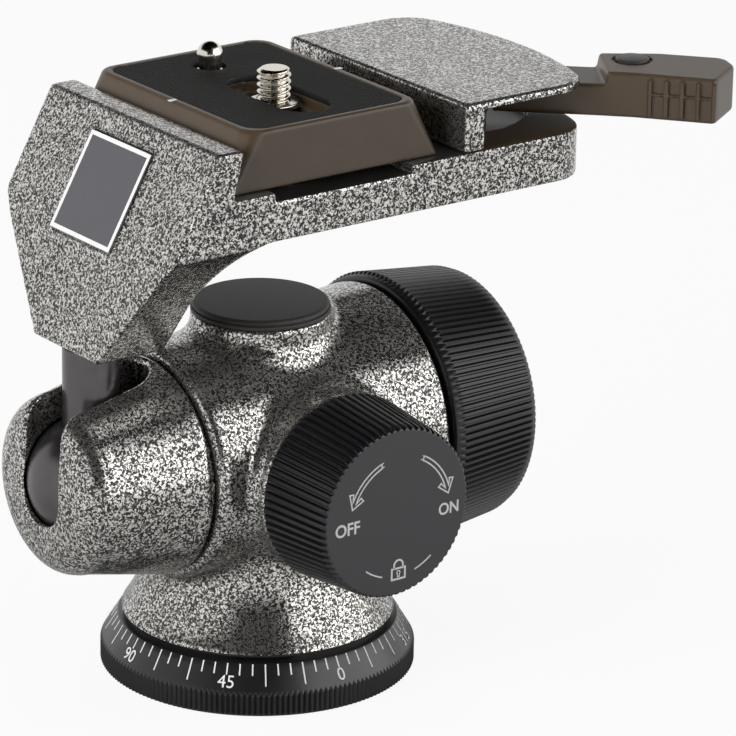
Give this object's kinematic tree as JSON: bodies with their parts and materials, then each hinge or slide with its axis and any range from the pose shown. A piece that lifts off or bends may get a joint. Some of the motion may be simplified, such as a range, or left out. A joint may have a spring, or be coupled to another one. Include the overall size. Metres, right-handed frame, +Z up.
{
  "type": "ball head",
  "caption": "Off-centre tripod ball head with a slotted turning collar, a panning base with a degree dial, lock knobs and an overhanging quick-release camera platform.",
  "frame": {"origin": "centre of the base's underside on the pan axis, at the mouth of the tripod thread", "axes": "+Z up along the pan axis, +X along the barrel from the ball toward the ball-lock knob, -Y along the pan-lock knob toward the viewer of the picture"},
  "size_m": [0.1348, 0.0732, 0.1187],
  "materials": {
    "enamel": "hammertone enamel, silver veins round dark grey cells, glossy",
    "dial": "black anodised, knurled band, white scale",
    "steel": "turned steel",
    "screw_steel": "blackened steel",
    "washer": "black slide washer",
    "bronze": "turned bronze",
    "cap": "fine grained matt black",
    "knob": "ribbed satin black",
    "knob_face": "satin dark grey with white marks",
    "alloy": "turned aluminium",
    "ball": "dark grey hard anodised, satin",
    "badge": "satin grey plate with a white border, blank",
    "polymer": "brown-grey satin polymer",
    "button": "dark satin polymer",
    "spring": "spring wire",
    "pad": "fine ribbed black rubber",
    "nickel": "bright nickel plate"
  },
  "bodies": {
    "base": {"base_ring": "dial", "spindle": "steel", "base_screws": "screw_steel", "pan_washer": "washer", "spindle_washer": "steel", "spindle_nut": "steel"},
    "body": {"body_shell": "enamel", "lower_bush": "bronze", "upper_bush": "bronze", "top_cap": "cap", "rear_plate": "alloy", "rear_screws": "screw_steel"},
    "pan_shoe": {"pan_shoe": "bronze"},
    "pan_knob": {"pan_stud": "steel", "pan_knob": "knob", "pan_knob_face": "knob_face"},
    "piston": {"piston": "alloy", "ball_seat": "bronze"},
    "lock_knob": {"lock_screw": "steel", "thrust_washer": "bronze", "lock_knob": "knob", "lock_knob_cap": "knob_face"},
    "collar": {"collar": "enamel", "collar_clip": "steel"},
    "ball": {"ball": "ball"},
    "platform": {"stem": "ball", "stem_grub_screw": "screw_steel", "platform": "enamel", "badge": "badge", "cover": "enamel", "cover_screws": "screw_steel", "lever_pin": "steel"},
    "lever": {"lever": "polymer", "lever_cam": "steel", "button_spring": "spring"},
    "lever_button": {"lever_button": "button"},
    "plate": {"plate": "polymer", "plate_pad": "pad", "pin_spring": "spring"},
    "screw_clip": {"screw_clip": "nickel"},
    "camera_screw": {"camera_screw": "nickel"},
    "twist_pin": {"twist_pin": "nickel"}
  },
  "joints": [
    {"name": "pan_turn", "type": "hinge", "parent": "base", "child": "body", "pos_m": [0, 0, 0], "axis": [0, 0, 1], "continuous": true},
    {"name": "pan_shoe_slide", "type": "slide", "parent": "body", "child": "pan_shoe", "axis": [0, -1, 0], "range_m": [0, 0.00104]},
    {"name": "pan_lock_turn", "type": "hinge", "parent": "pan_shoe", "child": "pan_knob", "pos_m": [0, -0.034, 0.0432], "axis": [0, -1, 0], "range_deg": [0, 300]},
    {"name": "piston_slide", "type": "slide", "parent": "body", "child": "piston", "axis": [1, 0, 0], "range_m": [0, 0.00075]},
    {"name": "ball_lock_turn", "type": "hinge", "parent": "body", "child": "lock_knob", "pos_m": [0.036, 0, 0.0446], "axis": [1, 0, 0], "range_deg": [0, 180]},
    {"name": "collar_turn", "type": "hinge", "parent": "body", "child": "collar", "pos_m": [-0.03, 0, 0.0446], "axis": [1, 0, 0], "range_deg": [-90, 90]},
    {"name": "ball_tilt", "type": "hinge", "parent": "collar", "child": "ball", "pos_m": [-0.038, 0, 0.0446], "axis": [0, -1, 0], "range_deg": [-10, 95]},
    {"name": "stem_spin", "type": "hinge", "parent": "ball", "child": "platform", "pos_m": [-0.038, 0, 0.066], "axis": [0, 0, 1], "continuous": true},
    {"name": "lever_turn", "type": "hinge", "parent": "platform", "child": "lever", "pos_m": [0.0396, 0, 0.106], "axis": [0, 0, 1], "range_deg": [0, 80]},
    {"name": "button_press", "type": "slide", "parent": "lever", "child": "lever_button", "axis": [0, 0, -1], "range_m": [0, 0.0012], "stiffness_N_per_m": 400, "springref_m": -0.0005},
    {"name": "plate_slide", "type": "slide", "parent": "platform", "child": "plate", "axis": [0, -1, 0], "range_m": [0, 0.06]},
    {"name": "screw_slide", "type": "slide", "parent": "plate", "child": "screw_clip", "axis": [0, 1, 0], "range_m": [-0.006, 0.006]},
    {"name": "screw_turn", "type": "hinge", "parent": "screw_clip", "child": "camera_screw", "pos_m": [-0.0015, -0.0055, 0.11415], "axis": [0, 0, 1], "continuous": true},
    {"name": "pin_press", "type": "slide", "parent": "plate", "child": "twist_pin", "axis": [0, 0, -1], "range_m": [0, 0.0026], "stiffness_N_per_m": 600, "springref_m": -0.001}
  ],
  "couplings": [
    {"joint": "pan_lock_turn", "follows": "pan_shoe_slide", "rad_per_m": 5026.5},
    {"joint": "ball_lock_turn", "follows": "piston_slide", "rad_per_m": 4188.8}
  ]
}
